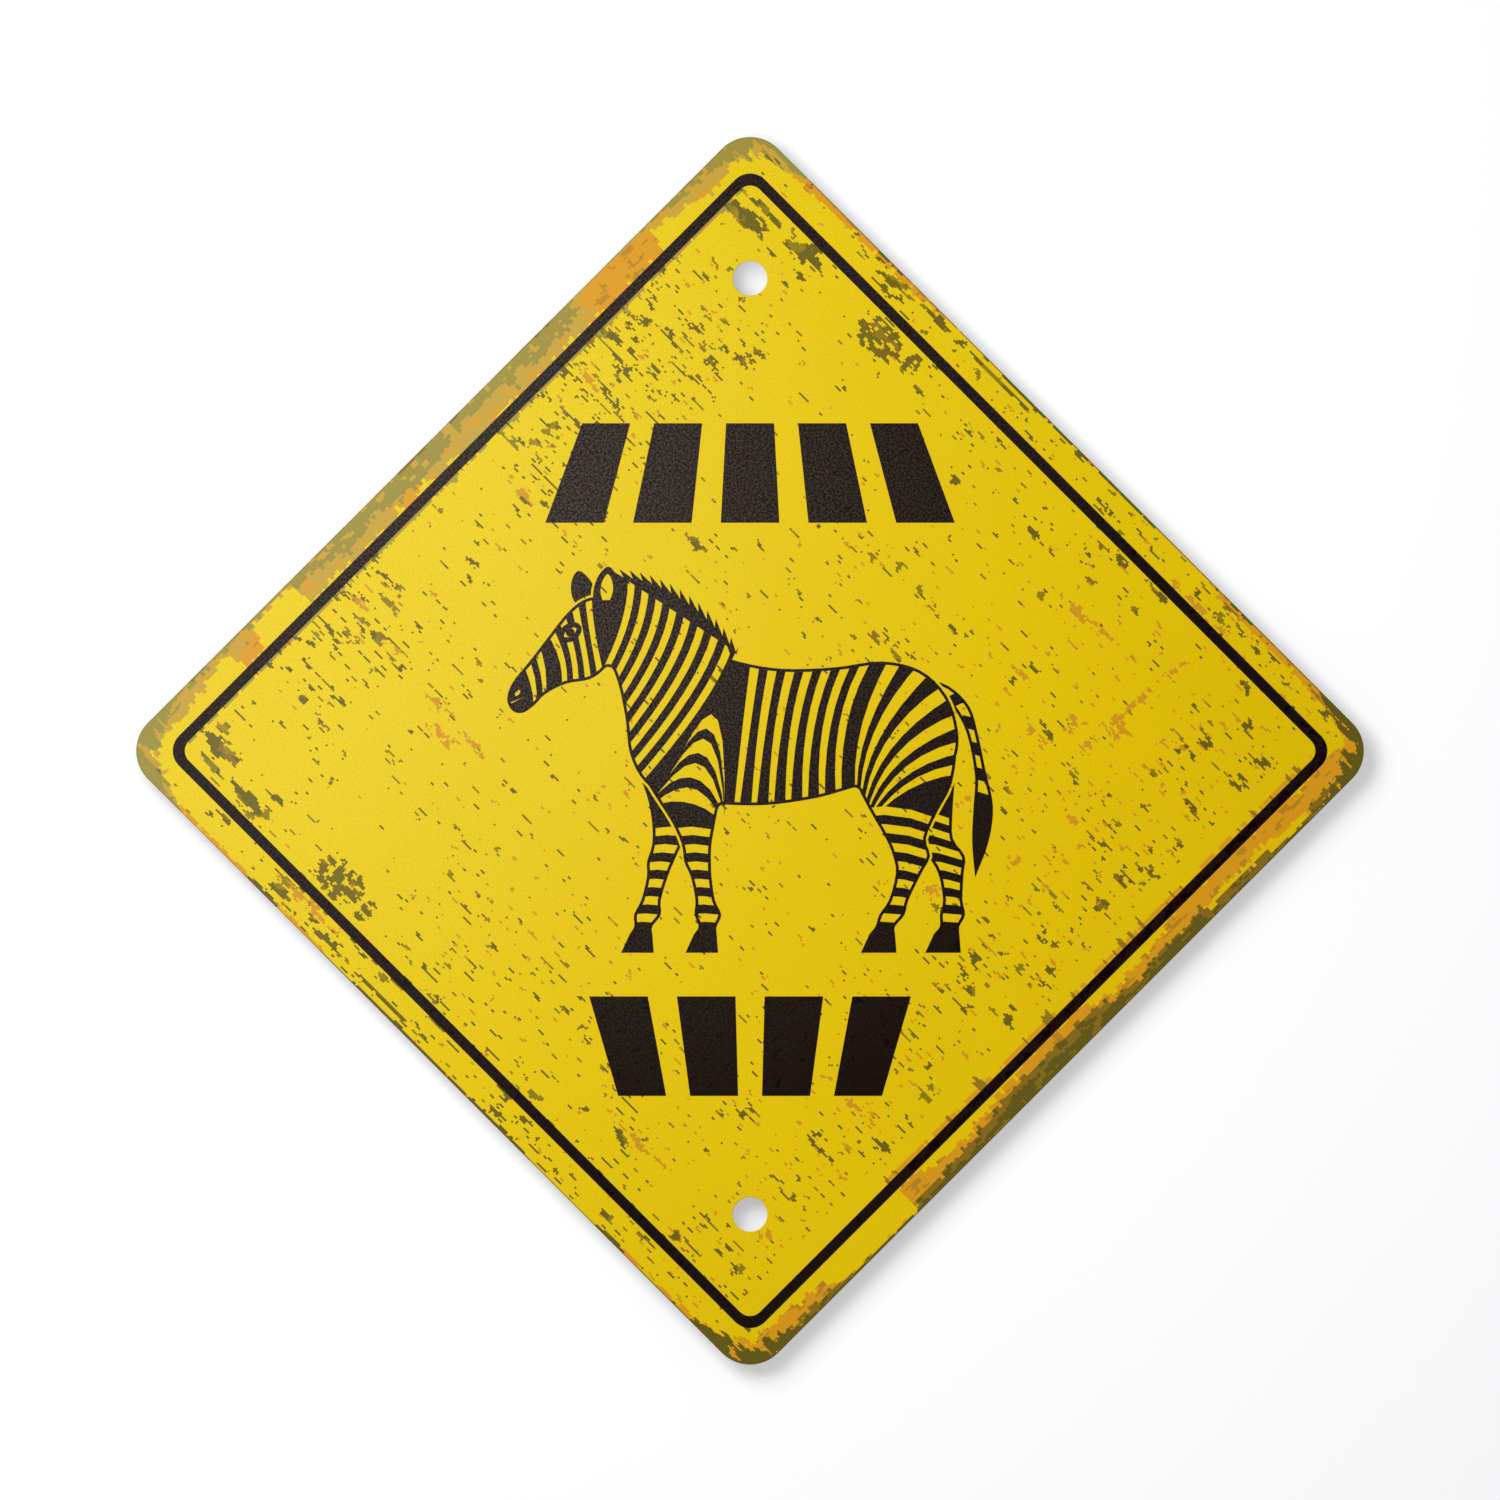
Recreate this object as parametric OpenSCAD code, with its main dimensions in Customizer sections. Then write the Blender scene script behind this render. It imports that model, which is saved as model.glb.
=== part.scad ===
// Diamond-shaped animal crossing sign: one flat sheet of metal with rounded corners and two
// fixing holes, printed in black with a border line, a striped animal and two rows of bars.
// It is modelled as it hangs: +Z is up, the printed face looks along -Y, and the origin is the
// centre of the back face. Everything is drawn flat with its face up, then stood upright.

/* [Sheet] */
// Side of the square sheet, measured before its corners are rounded
sheet_side = 304.8; // [290:0.1:460]
// Thickness of the sheet
sheet_t = 1; // [0.8:0.1:3.2]
// Radius of the rounded corners
corner_r = 13.5; // [8:0.5:20]
// Radius that the punch rolls over on the printed side, round the rim and the holes
edge_roll = 0.25; // [0.1:0.05:0.5]

/* [Fixing holes] */
// Diameter of the two fixing holes
hole_d = 11.8; // [6:0.1:14]
// From the top point of the square to the centre of the upper hole
top_hole_inset = 54; // [45:0.5:60]
// From the bottom point of the square to the centre of the lower hole
bottom_hole_inset = 57; // [45:0.5:60]

/* [Border line] */
// Bare margin between the edge of the sheet and the border line
margin = 10.7; // [6:0.1:14]
// Width of the border line
border_w = 3.6; // [2:0.1:6]
// Radius of the line's outer corners
border_outer_r = 7.2; // [4:0.1:12]
// Radius of the line's inner corners
border_inner_r = 4.8; // [2:0.1:8]

/* [Animal] */
// Height of the animal from its hooves to its ear tips
animal_h = 132; // [100:1:140]
// Sideways place of the animal's middle, to the right of the sheet's centre line if positive
animal_shift = 1; // [-10:0.5:10]
// Height of the animal's middle above the centre of the sheet
animal_rise = -3; // [-8:0.5:4]
// Width of the line round the animal
outline_w = 0.9; // [0.5:0.1:1.5]
// Light stripes across the neck
neck_stripes = 8; // [5:1:9]
// Light stripes down the flank
flank_stripes = 7; // [4:1:8]
// Light stripes round the rump
rump_stripes = 6; // [4:1:7]

/* [Crossing bars] */
// Height of each row of bars
bar_h = 34; // [20:1:38]
// Width of a bar at its end nearest the animal
bar_w = 20; // [10:0.5:22]
// Distance from one bar to the next at that end
bar_pitch = 30; // [24:0.5:32]
// Size of a row's far end, as a share of its end nearest the animal
bar_taper = 0.82; // [0.6:0.01:1]
// Bars in the upper row
upper_bars = 5; // [3:1:6]
// Bars in the lower row
lower_bars = 4; // [3:1:5]
// Gap between the animal and each row
row_gap = 15; // [8:0.5:18]

/* [Ink] */
// Thickness of the printed ink
ink_t = 0.1; // [0.05:0.01:0.2]

/* [Hidden] */
$fn = 96;

// Half of the square's diagonal: how far its points lie from the centre
point_reach = sheet_side / sqrt(2);
// Heights of the two holes above the centre
top_hole_y = point_reach - top_hole_inset;
bottom_hole_y = bottom_hole_inset - point_reach;
// Length by which a cutter passes the face that it leaves
past = 1;

// The animal is drawn facing left in units of its own, with the ground at y = 0 and its middle
// at x = 0. The tip of the near ear is its highest point.
near_ear_tip = [-49.5, 132];
// Size of one unit of the drawing
unit = animal_h / near_ear_tip[1];
// How far each hoof has swung, forwards if negative
near_fore_stride = 7;
near_hind_stride = -13;
far_fore_stride = -15;
far_hind_stride = 9;
// Height at which a leg starts to swing, and the drop over which it gains its whole stride
swing_top = 60;
swing_drop = 50;
// Centre and tilt of the eye
eye = [-62.5, 109.5];
eye_tilt = 35;
// Finest line that the ink can hold, and how far wet ink spreads past its edge
finest_line = 0.3;
ink_spread = 0.05;
// Steps along each stretch of a smooth curve, and along a stripe
curve_steps = 4;
stripe_steps = 8;

sheet_colour = [0.89, 0.77, 0.11];
ink_colour = [0.12, 0.09, 0.08];

// Stands a flat drawing upright, with its face towards -Y and its top towards +Z
module upright() {
    rotate([90, 0, 0])
        children();
}

// Prints a flat drawing on the face of the sheet
module printed() {
    color(ink_colour)
        upright()
            translate([0, 0, sheet_t])
                linear_extrude(ink_t)
                    children();
}

// Half of the sheet's section, from its middle out to a rim with a rolled upper edge
module rim_section(reach) {
    square([reach, sheet_t - edge_roll]);
    square([reach - edge_roll, sheet_t]);
    translate([reach - edge_roll, sheet_t - edge_roll])
        circle(edge_roll);
}

// The blank sheet, square to the axes: slabs out to its four sides and four round corners
module blank() {
    flat = sheet_side - 2 * corner_r;
    for (turn = [0 : 90 : 270])
        rotate(turn) {
            rotate([90, 0, 0])
                linear_extrude(flat, center = true)
                    rim_section(sheet_side / 2);
            translate([flat / 2, flat / 2])
                rotate_extrude()
                    rim_section(corner_r);
        }
}

// Cutter for a punched hole, wider where its mouth rolls over into the printed face
module hole_cutter() {
    translate([0, 0, -past])
        cylinder(d = hole_d, h = sheet_t + 2 * past);
    translate([0, 0, sheet_t - edge_roll])
        rotate_extrude()
            difference() {
                square([hole_d / 2 + edge_roll, edge_roll + past]);
                translate([hole_d / 2 + edge_roll, 0])
                    circle(edge_roll);
            }
}

module panel() {
    color(sheet_colour)
        upright()
            difference() {
                rotate(45)
                    blank();
                for (y = [top_hole_y, bottom_hole_y])
                    translate([0, y])
                        hole_cutter();
            }
}

// Square of a given side with rounded corners, stood on its point
module diamond(side, r) {
    for (turn = [0 : 90 : 270])
        rotate(45 + turn) {
            translate([side / 2 - r, side / 2 - r])
                circle(r);
            translate([0, r - side / 2])
                square([side / 2, side - 2 * r]);
        }
}

module border_line() {
    printed()
        difference() {
            diamond(sheet_side - 2 * margin, border_outer_r);
            diamond(sheet_side - 2 * (margin + border_w), border_inner_r);
        }
}

// A row of bars that stand on y = 0 and draw together towards their far ends
module bar_row(count) {
    for (i = [0 : count - 1])
        let (x = bar_pitch * (i - (count - 1) / 2))
            polygon([
                [x - bar_w / 2, 0],
                [x + bar_w / 2, 0],
                [(x + bar_w / 2) * bar_taper, bar_h],
                [(x - bar_w / 2) * bar_taper, bar_h],
            ]);
}

module crossing_bars() {
    printed() {
        translate([0, animal_rise + animal_h / 2 + row_gap])
            bar_row(upper_bars);
        translate([0, animal_rise - animal_h / 2 - row_gap])
            mirror([0, 1])
                bar_row(lower_bars);
    }
}

// Point on a smooth curve through the points p, a share t of the way from point i to the next
function curve_point(p, i, t) =
    let (
        a = p[max(i - 1, 0)],
        b = p[i],
        c = p[i + 1],
        d = p[min(i + 2, len(p) - 1)]
    )
    (2 * b + (c - a) * t + (2 * a - 5 * b + 4 * c - d) * t ^ 2 + (3 * b - a - 3 * c + d) * t ^ 3) / 2;

// Smooth open curve through the points p
function curve(p, steps = curve_steps) = [
    for (i = [0 : len(p) - 2], k = [0 : steps - 1]) curve_point(p, i, k / steps),
    p[len(p) - 1],
];

// Point a share t along the bow that leaves g[0] towards g[1] and comes into g[3] from g[2]
function bow_point(g, t) =
    (1 - t) ^ 3 * g[0] + 3 * (1 - t) ^ 2 * t * g[1] + 3 * (1 - t) * t ^ 2 * g[2] + t ^ 3 * g[3];

// The same on a bow that lies a share s of the way from bow g to bow h
function between(g, h, s, t) = bow_point(g * (1 - s) + h * s, t);

function last(p) = p[len(p) - 1];

function reversed(p) = [for (i = [len(p) - 1 : -1 : 0]) p[i]];

// A row of stripes between a first and a final bow. The shares are the part of its pitch that a
// stripe takes where it starts, half way along and where it ends.
module stripes(first, final, count, shares = [0.5, 0.5, 0.5], steps = stripe_steps) {
    swell = 4 * shares[1] - 2 * shares[0] - 2 * shares[2];
    for (i = [0 : count - 1])
        polygon([
            for (side = [-1, 1], k = [0 : steps])
                let (
                    t = (side < 0 ? k : steps - k) / steps,
                    width = shares[0] * (1 - t) + shares[2] * t + swell * t * (1 - t)
                )
                between(first, final, (i + 0.5 + side * width / 2) / count, t)
        ]);
}

// Head, neck, chest, belly and rump
module trunk() {
    back = [[-52, 122], [-41, 120], [-28, 113], [-16, 104], [-5, 99.5], [10, 97], [28, 97.5],
        [44, 99.5], [57, 96.5], [66, 88], [70, 76], [69, 66], [62, 56]];
    belly = [[62, 56], [50, 54], [38, 57], [22, 53], [4, 50.5], [-14, 51], [-28, 53], [-37, 58.5],
        [-42, 68], [-43.5, 80], [-46, 92], [-49.5, 101]];
    head = [[-49.5, 101], [-51, 97], [-56, 93.5], [-64, 92], [-71, 88.5], [-75, 84.5], [-79, 82],
        [-82.5, 83], [-84, 87], [-82, 92.5], [-76, 100], [-69.5, 108.5], [-63.5, 116], [-58, 120.5],
        [-52, 122]];
    polygon(concat(curve(back), curve(belly), curve(head)));
}

// Sections of a leg from the top down to its hoof: height, front edge and back edge
fore_leg = [[66, -41, -10], [54, -34.5, -12], [45, -30, -15], [37, -27.5, -17.5],
    [31, -27.5, -18.5], [26, -26, -19], [18, -25.5, -19], [13, -26.5, -17.5], [9, -25.5, -19.5],
    [6.5, -27, -19.5]];
hind_leg = [[72, 32, 70], [58, 36, 68.5], [48, 43.5, 66], [39, 51, 64.5], [33, 55, 67.5],
    [27, 57.5, 66], [18, 57.5, 64], [13, 55.5, 64], [9, 55, 61.5], [6.5, 53, 61.5]];

// One edge of a swung leg from the top down: its front for column 1, its back for column 2
function leg_edge(sections, stride, column) = [
    for (s = sections)
        [s[column] + stride * min(1, max(0, (swing_top - s[0]) / swing_drop)), s[0]]
];

module leg(sections, stride) {
    front = leg_edge(sections, stride, 1);
    back = leg_edge(sections, stride, 2);
    toe = [last(front)[0] - 3, 0];
    heel = [last(back)[0] + 0.5, 0];
    polygon(concat(curve(front, 3), [toe, heel], curve(reversed(back), 3)));
}

// Arched stripes across a leg, from a given height down to its hoof
module leg_stripes(sections, stride, top, count) {
    front = leg_edge(sections, stride, 1);
    top_front = [lookup(top, [for (p = reversed(front)) [p[1], p[0]]]), top];
    stripes(
        [for (p = [[-9, -4], [0, 1], [12, 1], [26, -5]]) top_front + p],
        [for (p = [[-9, 1], [0, 3], [8, 3], [16, 1]]) last(front) + p],
        count, steps = 4
    );
}

// Rounded ear, from its base to its tip
module ear(base, tip, width) {
    side = [width / 2, 0];
    low = base + (tip - base) * 0.35;
    high = base + (tip - base) * 0.75;
    polygon(curve([base - side * 0.6, low - side, high - side * 0.75, tip, high + side * 0.75,
        low + side, base + side * 0.6]));
}

// Upright mane, its edge in tufts, from behind the ears to the withers
module mane() {
    root = [[-46, 118], [-34, 116], [-20, 104], [-9, 97]];
    tips = [[-49, 131], [-32, 132], [-13, 119], [-3, 100.5]];
    tufts = 15;
    polygon([
        bow_point(root, 0),
        for (i = [0 : tufts - 1])
            each [between(root, tips, 0.8, (i + 0.3) / tufts), bow_point(tips, i / tufts)],
        for (k = [stripe_steps : -1 : 1])
            bow_point(root, k / stripe_steps),
    ]);
}

module tail() {
    outer = [[58, 94], [67, 91], [74, 84], [77, 74], [79.5, 62], [82, 50], [80.5, 38], [76, 26]];
    inner = [[76, 26], [75, 38], [75.5, 50], [76, 60], [74, 72], [71, 80], [66, 86], [58, 87]];
    polygon(concat(curve(outer), curve(inner)));
}

// Rounds the inner corners where shapes run into each other
module blended(r) {
    offset(r = -r, $fn = 24)
        offset(r = r, $fn = 24)
            children();
}

// Trunk, mane, ear and legs of the side that faces the viewer
module near_side() {
    blended(2) {
        trunk();
        leg(fore_leg, near_fore_stride);
        leg(hind_leg, near_hind_stride);
    }
    mane();
    ear([-50.5, 117], near_ear_tip, 9);
}

module far_side() {
    leg(fore_leg, far_fore_stride);
    leg(hind_leg, far_hind_stride);
    ear([-56.5, 117], [-59.5, 130.5], 8.5);
}

// Bare marks of the head: stripes, eye, nostril, mouth and the inside of the ear
module face() {
    difference() {
        stripes([[-54, 123], [-54, 112], [-52, 104], [-50, 96]],
            [[-72, 109], [-67, 102], [-65, 95], [-67, 86]], 4, steps = 6);
        translate(eye)
            rotate(eye_tilt)
                scale([1.4, 1])
                    circle(3);
    }
    stripes([[-73, 108], [-70, 101], [-69, 95], [-70, 86]],
        [[-80, 99], [-78, 94], [-76, 90], [-76, 83]], 2, [0.5, 0.5, 0.3], 4);
    // White of the eye: two crossed discs, either side of the pupil
    translate(eye)
        rotate(eye_tilt)
            difference() {
                intersection_for(y = [-2.2, 2.2])
                    translate([0, y])
                        circle(3.5);
                circle(1.45);
            }
    // Nostril
    translate([-80.5, 88.8])
        rotate(50)
            scale([1.8, 1])
                circle(0.7);
    // Mouth
    stripes([[-85, 84.2], [-82, 85.2], [-80, 86.2], [-77, 88]],
        [[-85, 85], [-82, 86], [-80, 87], [-77, 88]], 1, [0.9, 0.6, 0.2], 3);
    ear([-50.2, 120.5], [-49.7, 129.5], 4.4);
}

module near_stripes() {
    // Neck
    stripes([[-44, 128], [-44, 118], [-47, 108], [-53, 96]],
        [[-6, 103], [-10, 92], [-20, 76], [-42, 52]], neck_stripes);
    // Shoulder, arched over the leg
    stripes([[-28, 60], [-17, 86], [-7, 102], [-10, 42]],
        [[-40, 45], [-30, 52], [-20, 52], [-8, 42]], 4, [0, 0.6, 0.3]);
    // Flank
    stripes([[-2, 103], [-4, 85], [-6, 68], [-9, 46]],
        [[45, 104], [33, 88], [30, 68], [33, 46]], flank_stripes, [0.5, 0.5, 0.3]);
    // Rump
    stripes([[50, 112], [37, 88], [32, 70], [35, 50]],
        [[90, 58], [64, 64], [50, 54], [42, 46]], rump_stripes, [0.45, 0.55, 0.3]);
    leg_stripes(fore_leg, near_fore_stride, 45, 6);
    leg_stripes(hind_leg, near_hind_stride, 52, 7);
    face();
}

module far_stripes() {
    leg_stripes(fore_leg, far_fore_stride, 45, 6);
    leg_stripes(hind_leg, far_hind_stride, 52, 7);
}

module tail_stripes() {
    stripes([[60, 90], [68, 97], [72, 98], [80, 94]],
        [[66, 52], [74, 54], [78, 54], [86, 50]], 5, steps = 2);
}

// The first child in ink, with the second child left bare inside its outline
module inked() {
    difference() {
        children(0);
        intersection() {
            offset(delta = -outline_w / unit)
                children(0);
            children(1);
        }
    }
}

// Drops what is thinner than the finest line that prints, and lets the ink spread a little
module printable() {
    offset(delta = finest_line / 2 + ink_spread)
        offset(delta = -finest_line / 2)
            children();
}

// The whole animal, its far legs and tail set off from its near side by a bare line
module animal() {
    inked() {
        near_side();
        near_stripes();
    }
    difference() {
        union() {
            inked() {
                far_side();
                far_stripes();
            }
            inked() {
                tail();
                tail_stripes();
            }
        }
        offset(r = outline_w / unit, $fn = 24)
            near_side();
    }
}

module animal_figure() {
    printed()
        printable()
            translate([animal_shift, animal_rise - animal_h / 2])
                scale(unit)
                    animal();
}

panel();
border_line();
animal_figure();
crossing_bars();
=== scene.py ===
"""Looks of an animal crossing sign: worn yellow coat and black print on a sheet of aluminium.

Lengths are metres in the CAD frame: +Z up, the printed face towards -Y, the back face at y = 0.
Wear is laid out in millimetres along the sheet's own sides: s grows towards the upper right
side and t towards the upper left side, both from the centre of the sheet.
"""

import logging
import math
from dataclasses import dataclass
from enum import Enum
from functools import cached_property, reduce

import bmesh
import bpy
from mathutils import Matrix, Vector


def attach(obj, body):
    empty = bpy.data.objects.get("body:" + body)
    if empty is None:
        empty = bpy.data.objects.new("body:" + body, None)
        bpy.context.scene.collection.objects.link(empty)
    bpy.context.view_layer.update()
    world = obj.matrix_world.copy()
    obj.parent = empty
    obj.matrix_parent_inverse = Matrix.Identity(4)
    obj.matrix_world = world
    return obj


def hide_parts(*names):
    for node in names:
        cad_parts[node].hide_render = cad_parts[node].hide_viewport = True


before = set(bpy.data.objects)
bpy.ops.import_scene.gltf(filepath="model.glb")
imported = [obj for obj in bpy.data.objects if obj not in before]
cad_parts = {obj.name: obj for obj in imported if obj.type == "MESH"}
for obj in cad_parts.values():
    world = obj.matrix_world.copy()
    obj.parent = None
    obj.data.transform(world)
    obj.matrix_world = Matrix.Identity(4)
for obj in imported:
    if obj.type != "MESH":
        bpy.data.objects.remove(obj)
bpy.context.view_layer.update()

log = logging.getLogger("crossing_sign")

Colour = tuple[float, float, float]
Triple = tuple[float, float, float]

# The sheet's side and corners, its border line, and the blocks of its wear, in millimetres
SIDE = 304.8
CORNER_R = 13.5
MARGIN = 10.7
BORDER_W = 3.6
CELL = 0.65
# Height of the finest grain, in metres
GRAIN_HEIGHT = 0.00006
WHITE = (1.0, 1.0, 1.0, 1.0)


class Wire:
    """Output socket of a shader node. Arithmetic and comparisons on it add Math nodes."""

    def __init__(self, graph: "Graph", socket: bpy.types.NodeSocket) -> None:
        """Keeps the socket and the graph that new nodes go into."""
        self.graph = graph
        self.socket = socket

    def __add__(self, other: "Wire | float") -> "Wire":
        """Sum."""
        return self.graph.math("ADD", self, other)

    def __radd__(self, other: float) -> "Wire":
        """Sum with a number in front."""
        return self.graph.math("ADD", other, self)

    def __sub__(self, other: "Wire | float") -> "Wire":
        """Difference."""
        return self.graph.math("SUBTRACT", self, other)

    def __rsub__(self, other: float) -> "Wire":
        """Difference from a number."""
        return self.graph.math("SUBTRACT", other, self)

    def __mul__(self, other: "Wire | float") -> "Wire":
        """Product."""
        return self.graph.math("MULTIPLY", self, other)

    def __rmul__(self, other: float) -> "Wire":
        """Product with a number in front."""
        return self.graph.math("MULTIPLY", other, self)

    def __truediv__(self, other: "Wire | float") -> "Wire":
        """Quotient."""
        return self.graph.math("DIVIDE", self, other)

    def __gt__(self, other: "Wire | float") -> "Wire":
        """1 where this value is the larger, else 0."""
        return self.graph.math("GREATER_THAN", self, other)

    def __lt__(self, other: "Wire | float") -> "Wire":
        """1 where this value is the smaller, else 0."""
        return self.graph.math("LESS_THAN", self, other)

    def __abs__(self) -> "Wire":
        """Size without its sign."""
        return self.graph.math("ABSOLUTE", self)

    def clamped(self) -> "Wire":
        """The value kept between 0 and 1."""
        return self.graph.node("ShaderNodeClamp", inputs={"Value": self})

    def least(self, other: "Wire | float") -> "Wire":
        """The smaller of two values."""
        return self.graph.math("MINIMUM", self, other)

    def most(self, other: "Wire | float") -> "Wire":
        """The larger of two values."""
        return self.graph.math("MAXIMUM", self, other)

    def between(self, low: float, high: float) -> "Wire":
        """Smooth step: 0 at low, 1 at high."""
        return self.graph.node(
            "ShaderNodeMapRange",
            {"interpolation_type": "SMOOTHSTEP"},
            {"Value": self, "From Min": low, "From Max": high},
        )

    def within(self, low: float, high: float, soft: float) -> "Wire":
        """1 from low to high, with soft ends of a given half width."""
        rise = self.between(low - soft, low + soft)
        return rise - self.between(high - soft, high + soft)


class Graph:
    """Node tree of one material or of the world."""

    def __init__(self, owner: bpy.types.Material | bpy.types.World) -> None:
        """Empties the owner's node tree, ready for new nodes.

        Args:
            owner: What the nodes belong to.
        """
        owner.use_nodes = True
        self.tree = owner.node_tree
        self.tree.nodes.clear()

    def node(
        self,
        kind: str,
        settings: dict[str, object] | None = None,
        inputs: dict[str | int, object] | None = None,
        output: str | int = 0,
    ) -> Wire:
        """Adds a node.

        Args:
            kind: The node's type.
            settings: Its properties, set first. "stops" holds a ramp's places and grey levels.
            inputs: Values or wires for its input sockets, by name or number.
            output: The output socket that is wanted.

        Returns:
            The wire that leaves that output.
        """
        node = self.tree.nodes.new(kind)
        for name, value in (settings or {}).items():
            if name == "stops":
                self._set_stops(node, value)
            else:
                setattr(node, name, value)
        for name, value in (inputs or {}).items():
            if isinstance(value, Wire):
                self.tree.links.new(value.socket, node.inputs[name])
            else:
                node.inputs[name].default_value = value
        return Wire(self, node.outputs[output])

    @staticmethod
    def _set_stops(node: bpy.types.Node, stops: tuple[tuple[float, float], ...]) -> None:
        """Gives a ramp its stops.

        Args:
            node: The ramp.
            stops: The place and the grey level of each, in order.
        """
        ramp = node.color_ramp
        while len(ramp.elements) < len(stops):
            ramp.elements.new(1.0)
        for element, (place, level) in zip(ramp.elements, stops):
            element.position = place
            element.color = (level, level, level, 1.0)

    def math(self, operation: str, *values: Wire | float) -> Wire:
        """Adds a Math node on one to three values."""
        return self.node("ShaderNodeMath", {"operation": operation}, dict(enumerate(values)))

    def vector(self, operation: str, *values: Wire | Triple, output: str = "Vector") -> Wire:
        """Adds a Vector Math node on one to three vectors."""
        settings = {"operation": operation}
        return self.node("ShaderNodeVectorMath", settings, dict(enumerate(values)), output)

    def parts(self, vector: Wire) -> list[Wire]:
        """Splits a vector into its three values."""
        first = self.node("ShaderNodeSeparateXYZ", inputs={"Vector": vector})
        return [Wire(self, value) for value in first.socket.node.outputs]

    def mix(self, share: Wire, first: Wire | Colour, second: Wire | Colour) -> Wire:
        """Mixes two colours.

        Args:
            share: How much of the second colour shows, from 0 to 1.
            first: The colour underneath.
            second: The colour on top.

        Returns:
            The mixed colour.
        """
        inputs: dict[str | int, object] = {0: share}
        for place, colour in ((6, first), (7, second)):
            inputs[place] = colour if isinstance(colour, Wire) else (*colour, 1.0)
        return self.node("ShaderNodeMix", {"data_type": "RGBA"}, inputs, 2)

    def scaled(self, colour: Wire, amount: Wire) -> Wire:
        """Makes a colour lighter or darker by a factor."""
        inputs = {0: colour, "Scale": amount}
        return self.node("ShaderNodeVectorMath", {"operation": "SCALE"}, inputs)

    def result(self, shader: Wire, kind: str = "ShaderNodeOutputMaterial") -> None:
        """Sends a shader to the tree's output."""
        end = self.tree.nodes.new(kind)
        self.tree.links.new(shader.socket, end.inputs["Surface"])

    def bump(self, height: Wire, strength: float) -> Wire:
        """Turns the height of a fine grain into a surface direction."""
        inputs = {"Height": height, "Strength": strength, "Distance": GRAIN_HEIGHT}
        return self.node("ShaderNodeBump", inputs=inputs)

    def principled(self, inputs: dict[str | int, object]) -> None:
        """Makes the tree a principled material with these inputs."""
        self.result(self.node("ShaderNodeBsdfPrincipled", inputs=inputs))


class Spot:
    """Point of the sheet that a finish is drawn at, in metres and in millimetres.

    The place holds the millimetres along s, through the sheet and along t. The block is the
    place in steps, and s and t are the block's.
    """

    def __init__(self, graph: Graph) -> None:
        """Finds the point.

        Args:
            graph: Where the nodes go.
        """
        self.graph = graph
        self.position = graph.node("ShaderNodeTexCoord", output="Object")
        self.place = graph.node(
            "ShaderNodeMapping",
            {"vector_type": "POINT"},
            {"Vector": self.position, "Rotation": (0.0, math.pi / 4, 0.0), "Scale": (1000.0,) * 3},
        )
        self.block = graph.vector("SNAP", self.place, (CELL,) * 3)
        self.s, _, self.t = graph.parts(self.block)

    @cached_property
    def folded(self) -> Wire:
        """The block with the sheet's left half folded onto its right one."""
        return self.graph.node("ShaderNodeCombineXYZ", inputs={"X": abs(self.s), "Z": self.t})

    @cached_property
    def rim(self) -> Wire:
        """Distance in from the sheet's rounded outline.

        Returns:
            The millimetres, below 0 outside.
        """
        flat = SIDE / 2 - CORNER_R
        away = self.graph.vector("ABSOLUTE", self.place)
        past = self.graph.vector("SUBTRACT", away, (flat, SIDE, flat))
        past = self.graph.vector("MAXIMUM", past, (0.0, 0.0, 0.0))
        return CORNER_R - self.graph.vector("LENGTH", past, output="Value")


@dataclass(frozen=True)
class Grain:
    """Pattern of soft noise, as wide and as tall along s and t as is given in millimetres."""

    width: float
    height: float
    seed: float
    detail: float = 2.0
    roughness: float = 0.5

    def on(self, place: Wire) -> Wire:
        """Draws the noise.

        Args:
            place: The place or the block of a spot.

        Returns:
            The noise, around 0.5.
        """
        size = (1.0 / self.width, 0.0, 1.0 / self.height)
        spot = place.graph.vector("MULTIPLY_ADD", place, size, (self.seed,) * 3)
        inputs = {"Vector": spot, "Scale": 1.0, "Detail": self.detail, "Roughness": self.roughness}
        return place.graph.node("ShaderNodeTexNoise", {"noise_dimensions": "3D"}, inputs, "Fac")

    def sway(self, place: Wire) -> Wire:
        """Draws the noise around 0."""
        return self.on(place) - 0.5


@dataclass(frozen=True)
class Scuff:
    """Place where the coat is scuffed: its centre on s and t, and its half width and height."""

    s: float
    t: float
    width: float
    height: float

    def reach(self, place: Wire) -> Wire:
        """Measures how far from the scuff's centre a place is.

        Args:
            place: The place.

        Returns:
            The distance, 1 at the scuff's rim.
        """
        size = (1.0 / self.width, 0.0, 1.0 / self.height)
        centre = (-self.s / self.width, 0.0, -self.t / self.height)
        away = place.graph.vector("MULTIPLY_ADD", place, size, centre)
        return place.graph.vector("LENGTH", away, output="Value")


def nearest(place: Wire, scuffs: tuple[Scuff, ...]) -> Wire:
    """1 at the centre of the nearest of some scuffs, 0 at its rim and below 0 outside."""
    return 1.0 - reduce(Wire.least, (scuff.reach(place) for scuff in scuffs))


@dataclass(frozen=True)
class Zone:
    """Region of the sheet, and what it adds to a value inside.

    Along s and along t it has a low end, a high end and the half width that both fade over.
    """

    s: Triple
    t: Triple
    amount: float

    def on(self, place: Wire) -> Wire:
        """What the region adds at a place."""
        s, _, t = place.graph.parts(place)
        return s.within(*self.s) * t.within(*self.t) * self.amount


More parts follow.
